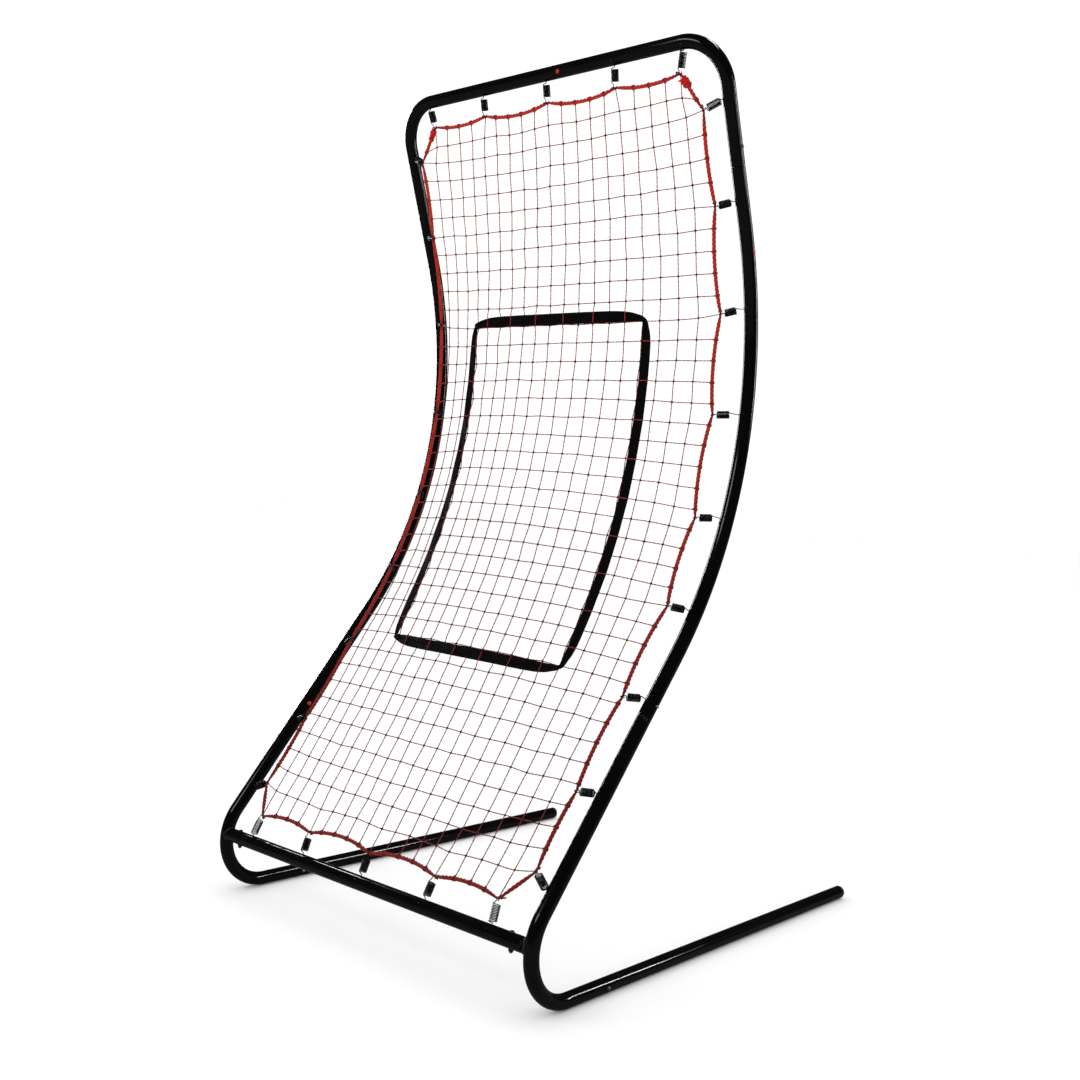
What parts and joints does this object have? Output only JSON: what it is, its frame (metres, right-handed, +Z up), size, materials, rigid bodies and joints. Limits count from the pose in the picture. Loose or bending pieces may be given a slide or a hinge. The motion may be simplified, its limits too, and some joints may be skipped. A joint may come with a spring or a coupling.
{
  "type": "pitching target net",
  "caption": "Freestanding ball rebounder: a bent tube frame on two long feet holds a knotted net on springs, with a webbing strike zone.",
  "frame": {"origin": "on the floor at the middle of the footprint, midway between the two feet", "axes": "+Z up, -Y towards the thrower, +Y the way the legs run back, X across the width"},
  "size_m": [0.9174, 1.0957, 1.7864],
  "materials": {
    "frame_paint": "glossy black powder coat",
    "cap_plastic": "satin black moulded plastic",
    "fastener_steel": "black zinc plate",
    "button_steel": "bright steel, lightly worn",
    "spring_steel": "black plated spring wire with bright rubbed edges",
    "plug_red": "glossy red",
    "net_cord": "thin dark red twisted cord, dark at the knots",
    "rope_red": "red laid rope",
    "webbing_black": "flat woven black webbing"
  },
  "bodies": {
    "frame": {"base_bend_left": "frame_paint", "base_bend_right": "frame_paint", "crossbar": "frame_paint", "crossbar_bolt_left": "fastener_steel", "crossbar_bolt_right": "fastener_steel", "crossbar_nut_left": "fastener_steel", "crossbar_nut_right": "fastener_steel", "leg_cap_left": "cap_plastic", "leg_cap_right": "cap_plastic", "leg_left": "frame_paint", "leg_right": "frame_paint", "plug_left_side": "plug_red", "plug_right_side": "plug_red", "plug_top_bar": "plug_red", "side_tube_left": "frame_paint", "side_tube_right": "frame_paint", "top_bow": "frame_paint"},
    "net_border": {"border_rope": "rope_red", "corner_lashing_left": "rope_red", "corner_lashing_right": "rope_red"},
    "net_panel": {"net_mesh": "net_cord", "strike_zone_webbing": "webbing_black"},
    "spring_left_1": {"spring_left_1": "spring_steel"},
    "spring_right_1": {"spring_right_1": "spring_steel"},
    "spring_left_2": {"spring_left_2": "spring_steel"},
    "spring_right_2": {"spring_right_2": "spring_steel"},
    "spring_left_3": {"spring_left_3": "spring_steel"},
    "spring_right_3": {"spring_right_3": "spring_steel"},
    "spring_left_4": {"spring_left_4": "spring_steel"},
    "spring_right_4": {"spring_right_4": "spring_steel"},
    "spring_left_5": {"spring_left_5": "spring_steel"},
    "spring_right_5": {"spring_right_5": "spring_steel"},
    "spring_left_6": {"spring_left_6": "spring_steel"},
    "spring_right_6": {"spring_right_6": "spring_steel"},
    "spring_left_7": {"spring_left_7": "spring_steel"},
    "spring_right_7": {"spring_right_7": "spring_steel"},
    "spring_left_8": {"spring_left_8": "spring_steel"},
    "spring_right_8": {"spring_right_8": "spring_steel"},
    "spring_left_9": {"spring_left_9": "spring_steel"},
    "spring_right_9": {"spring_right_9": "spring_steel"},
    "spring_top_1": {"spring_top_1": "spring_steel"},
    "spring_bottom_1": {"spring_bottom_1": "spring_steel"},
    "spring_top_2": {"spring_top_2": "spring_steel"},
    "spring_bottom_2": {"spring_bottom_2": "spring_steel"},
    "spring_top_3": {"spring_top_3": "spring_steel"},
    "spring_bottom_3": {"spring_bottom_3": "spring_steel"},
    "spring_top_4": {"spring_top_4": "spring_steel"},
    "spring_bottom_4": {"spring_bottom_4": "spring_steel"},
    "spring_top_5": {"spring_top_5": "spring_steel"},
    "spring_bottom_5": {"spring_bottom_5": "spring_steel"},
    "snap_button_lower_left": {"snap_button_lower_left": "button_steel"},
    "snap_button_upper_left": {"snap_button_upper_left": "button_steel"},
    "snap_button_leg_left": {"snap_button_leg_left": "button_steel"},
    "snap_button_lower_right": {"snap_button_lower_right": "button_steel"},
    "snap_button_upper_right": {"snap_button_upper_right": "button_steel"},
    "snap_button_leg_right": {"snap_button_leg_right": "button_steel"}
  },
  "joints": [
    {"name": "net_border_give", "type": "slide", "parent": "frame", "child": "net_border", "axis": [0, 1, 0], "range_m": [-0.0008, 0.0095], "deforming": ["spring_left_1", "spring_right_1", "spring_left_2", "spring_right_2", "spring_left_3", "spring_right_3", "spring_left_4", "spring_right_4", "spring_left_5", "spring_right_5", "spring_left_6", "spring_right_6", "spring_left_7", "spring_right_7", "spring_left_8", "spring_right_8", "spring_left_9", "spring_right_9", "spring_top_1", "spring_bottom_1", "spring_top_2", "spring_bottom_2", "spring_top_3", "spring_bottom_3", "spring_top_4", "spring_bottom_4", "spring_top_5", "spring_bottom_5"]},
    {"name": "net_deflection", "type": "slide", "parent": "net_border", "child": "net_panel", "axis": [0, 1, 0], "range_m": [-0.006, 0.075], "stiffness_N_per_m": 1500},
    {"name": "spring_left_1_swing", "type": "hinge", "parent": "frame", "child": "spring_left_1", "pos_m": [-0.42836, -0.47994, 0.22212], "axis": [-0.3975, 0, 0.9176], "range_deg": [-1.1, 12]},
    {"name": "spring_right_1_swing", "type": "hinge", "parent": "frame", "child": "spring_right_1", "pos_m": [0.42947, -0.48795, 0.21102], "axis": [-0.514, 0, -0.8578], "range_deg": [-1, 10.4]},
    {"name": "spring_left_2_swing", "type": "hinge", "parent": "frame", "child": "spring_left_2", "pos_m": [-0.42806, -0.37143, 0.36042], "axis": [-0.2691, 0, 0.9631], "range_deg": [-1.1, 12.2]},
    {"name": "spring_right_2_swing", "type": "hinge", "parent": "frame", "child": "spring_right_2", "pos_m": [0.42787, -0.36613, 0.36428], "axis": [0.035, 0, -0.9994], "range_deg": [-1.1, 12.1]},
    {"name": "spring_left_3_swing", "type": "hinge", "parent": "frame", "child": "spring_left_3", "pos_m": [-0.42933, -0.24424, 0.52212], "axis": [-0.3989, 0, 0.917], "range_deg": [-0.9, 10]},
    {"name": "spring_right_3_swing", "type": "hinge", "parent": "frame", "child": "spring_right_3", "pos_m": [0.42878, -0.23892, 0.52486], "axis": [0.0159, 0, -0.9999], "range_deg": [-1, 10.2]},
    {"name": "spring_left_4_swing", "type": "hinge", "parent": "frame", "child": "spring_left_4", "pos_m": [-0.43057, -0.11998, 0.68854], "axis": [-0.4448, 0, 0.8956], "range_deg": [-0.8, 7.9]},
    {"name": "spring_right_4_swing", "type": "hinge", "parent": "frame", "child": "spring_right_4", "pos_m": [0.42852, -0.11815, 0.68533], "axis": [-0.1423, 0, -0.9898], "range_deg": [-1, 10.8]},
    {"name": "spring_left_5_swing", "type": "hinge", "parent": "frame", "child": "spring_left_5", "pos_m": [-0.43128, -0.03488, 0.86913], "axis": [-0.2716, 0, 0.9624], "range_deg": [-0.6, 6.2]},
    {"name": "spring_right_5_swing", "type": "hinge", "parent": "frame", "child": "spring_right_5", "pos_m": [0.42961, -0.03327, 0.86589], "axis": [0.0582, 0, -0.9983], "range_deg": [-0.8, 8.7]},
    {"name": "spring_left_6_swing", "type": "hinge", "parent": "frame", "child": "spring_left_6", "pos_m": [-0.43137, 0.00802, 1.07401], "axis": [-0.0536, 0, 0.9986], "range_deg": [-0.6, 5.9]},
    {"name": "spring_right_6_swing", "type": "hinge", "parent": "frame", "child": "spring_right_6", "pos_m": [0.43017, 0.00934, 1.07269], "axis": [0.0795, 0, -0.9968], "range_deg": [-0.8, 7.7]},
    {"name": "spring_left_7_swing", "type": "hinge", "parent": "frame", "child": "spring_left_7", "pos_m": [-0.43075, -0.00008, 1.29073], "axis": [0.2035, 0, 0.9791], "range_deg": [-0.7, 6.9]},
    {"name": "spring_right_7_swing", "type": "hinge", "parent": "frame", "child": "spring_right_7", "pos_m": [0.42919, 0.00388, 1.28152], "axis": [0.2832, 0, -0.9591], "range_deg": [-0.9, 9.8]},
    {"name": "spring_left_8_swing", "type": "hinge", "parent": "frame", "child": "spring_left_8", "pos_m": [-0.42955, -0.05525, 1.48969], "axis": [0.2433, 0, 0.9699], "range_deg": [-0.9, 9]},
    {"name": "spring_right_8_swing", "type": "hinge", "parent": "frame", "child": "spring_right_8", "pos_m": [0.428, -0.04889, 1.48135], "axis": [0.2048, 0, -0.9788], "range_deg": [-1.1, 12.1]},
    {"name": "spring_left_9_swing", "type": "hinge", "parent": "frame", "child": "spring_left_9", "pos_m": [-0.429, -0.11525, 1.66385], "axis": [0.4365, 0, 0.8997], "range_deg": [-1, 10.9]},
    {"name": "spring_right_9_swing", "type": "hinge", "parent": "frame", "child": "spring_right_9", "pos_m": [0.42839, -0.11244, 1.66063], "axis": [0.3837, 0, -0.9235], "range_deg": [-1.1, 11.9]},
    {"name": "spring_top_1_swing", "type": "hinge", "parent": "frame", "child": "spring_top_1", "pos_m": [-0.3528, -0.14588, 1.75978], "axis": [0.9695, 0, 0.2449], "range_deg": [-1, 11.4]},
    {"name": "spring_bottom_1_swing", "type": "hinge", "parent": "frame", "child": "spring_bottom_1", "pos_m": [-0.35446, -0.53067, 0.14038], "axis": [-0.9611, 0, 0.2761], "range_deg": [-1, 10.8]},
    {"name": "spring_top_2_swing", "type": "hinge", "parent": "frame", "child": "spring_top_2", "pos_m": [-0.18353, -0.1458, 1.7594], "axis": [0.9993, 0, 0.0361], "range_deg": [-1.1, 11.8]},
    {"name": "spring_bottom_2_swing", "type": "hinge", "parent": "frame", "child": "spring_bottom_2", "pos_m": [-0.18508, -0.53055, 0.14081], "axis": [-0.9974, 0, 0.0716], "range_deg": [-1, 11.2]},
    {"name": "spring_top_3_swing", "type": "hinge", "parent": "frame", "child": "spring_top_3", "pos_m": [0, -0.1458, 1.75939], "axis": [1, 0, 0], "range_deg": [-1.1, 11.8]},
    {"name": "spring_bottom_3_swing", "type": "hinge", "parent": "frame", "child": "spring_bottom_3", "pos_m": [-0.00618, -0.53058, 0.14072], "axis": [-0.9898, 0, 0.1422], "range_deg": [-1, 11.1]},
    {"name": "spring_top_4_swing", "type": "hinge", "parent": "frame", "child": "spring_top_4", "pos_m": [0.18353, -0.1458, 1.7594], "axis": [0.9993, 0, -0.0361], "range_deg": [-1.1, 11.8]},
    {"name": "spring_bottom_4_swing", "type": "hinge", "parent": "frame", "child": "spring_bottom_4", "pos_m": [0.1727, -0.53062, 0.14058], "axis": [-0.9776, 0, 0.2106], "range_deg": [-1, 11]},
    {"name": "spring_top_5_swing", "type": "hinge", "parent": "frame", "child": "spring_top_5", "pos_m": [0.3528, -0.14588, 1.75978], "axis": [0.9695, 0, -0.2449], "range_deg": [-1, 11.4]},
    {"name": "spring_bottom_5_swing", "type": "hinge", "parent": "frame", "child": "spring_bottom_5", "pos_m": [0.342, -0.53054, 0.14084], "axis": [-1, 0, 0], "range_deg": [-1, 11.3]},
    {"name": "snap_button_lower_left_press", "type": "slide", "parent": "frame", "child": "snap_button_lower_left", "axis": [1, 0, 0], "range_m": [0, 0.006], "stiffness_N_per_m": 1500, "springref_m": -0.002},
    {"name": "snap_button_upper_left_press", "type": "slide", "parent": "frame", "child": "snap_button_upper_left", "axis": [1, 0, 0], "range_m": [0, 0.006], "stiffness_N_per_m": 1500, "springref_m": -0.002},
    {"name": "snap_button_leg_left_press", "type": "slide", "parent": "frame", "child": "snap_button_leg_left", "axis": [-1, 0, 0], "range_m": [0, 0.006], "stiffness_N_per_m": 1500, "springref_m": -0.002},
    {"name": "snap_button_lower_right_press", "type": "slide", "parent": "frame", "child": "snap_button_lower_right", "axis": [-1, 0, 0], "range_m": [0, 0.006], "stiffness_N_per_m": 1500, "springref_m": -0.002},
    {"name": "snap_button_upper_right_press", "type": "slide", "parent": "frame", "child": "snap_button_upper_right", "axis": [-1, 0, 0], "range_m": [0, 0.006], "stiffness_N_per_m": 1500, "springref_m": -0.002},
    {"name": "snap_button_leg_right_press", "type": "slide", "parent": "frame", "child": "snap_button_leg_right", "axis": [-1, 0, 0], "range_m": [0, 0.006], "stiffness_N_per_m": 1500, "springref_m": -0.002}
  ],
  "couplings": [
    {"joint": "net_border_give", "follows": "net_deflection", "ratio": 0.12},
    {"joint": "spring_left_1_swing", "follows": "net_deflection", "rad_per_m": 2.7681},
    {"joint": "spring_right_1_swing", "follows": "net_deflection", "rad_per_m": 2.3767},
    {"joint": "spring_left_2_swing", "follows": "net_deflection", "rad_per_m": 2.7926},
    {"joint": "spring_right_2_swing", "follows": "net_deflection", "rad_per_m": 2.7867},
    {"joint": "spring_left_3_swing", "follows": "net_deflection", "rad_per_m": 2.2901},
    {"joint": "spring_right_3_swing", "follows": "net_deflection", "rad_per_m": 2.3414},
    {"joint": "spring_left_4_swing", "follows": "net_deflection", "rad_per_m": 1.7956},
    {"joint": "spring_right_4_swing", "follows": "net_deflection", "rad_per_m": 2.4886},
    {"joint": "spring_left_5_swing", "follows": "net_deflection", "rad_per_m": 1.4182},
    {"joint": "spring_right_5_swing", "follows": "net_deflection", "rad_per_m": 1.9835},
    {"joint": "spring_left_6_swing", "follows": "net_deflection", "rad_per_m": 1.3379},
    {"joint": "spring_right_6_swing", "follows": "net_deflection", "rad_per_m": 1.765},
    {"joint": "spring_left_7_swing", "follows": "net_deflection", "rad_per_m": 1.5778},
    {"joint": "spring_right_7_swing", "follows": "net_deflection", "rad_per_m": 2.2503},
    {"joint": "spring_left_8_swing", "follows": "net_deflection", "rad_per_m": 2.0661},
    {"joint": "spring_right_8_swing", "follows": "net_deflection", "rad_per_m": 2.7782},
    {"joint": "spring_left_9_swing", "follows": "net_deflection", "rad_per_m": 2.495},
    {"joint": "spring_right_9_swing", "follows": "net_deflection", "rad_per_m": 2.7369},
    {"joint": "spring_top_1_swing", "follows": "net_deflection", "rad_per_m": 2.6171},
    {"joint": "spring_bottom_1_swing", "follows": "net_deflection", "rad_per_m": 2.4736},
    {"joint": "spring_top_2_swing", "follows": "net_deflection", "rad_per_m": 2.7149},
    {"joint": "spring_bottom_2_swing", "follows": "net_deflection", "rad_per_m": 2.5789},
    {"joint": "spring_top_3_swing", "follows": "net_deflection", "rad_per_m": 2.717},
    {"joint": "spring_bottom_3_swing", "follows": "net_deflection", "rad_per_m": 2.5568},
    {"joint": "spring_top_4_swing", "follows": "net_deflection", "rad_per_m": 2.7149},
    {"joint": "spring_bottom_4_swing", "follows": "net_deflection", "rad_per_m": 2.5212},
    {"joint": "spring_top_5_swing", "follows": "net_deflection", "rad_per_m": 2.6171},
    {"joint": "spring_bottom_5_swing", "follows": "net_deflection", "rad_per_m": 2.5864}
  ]
}
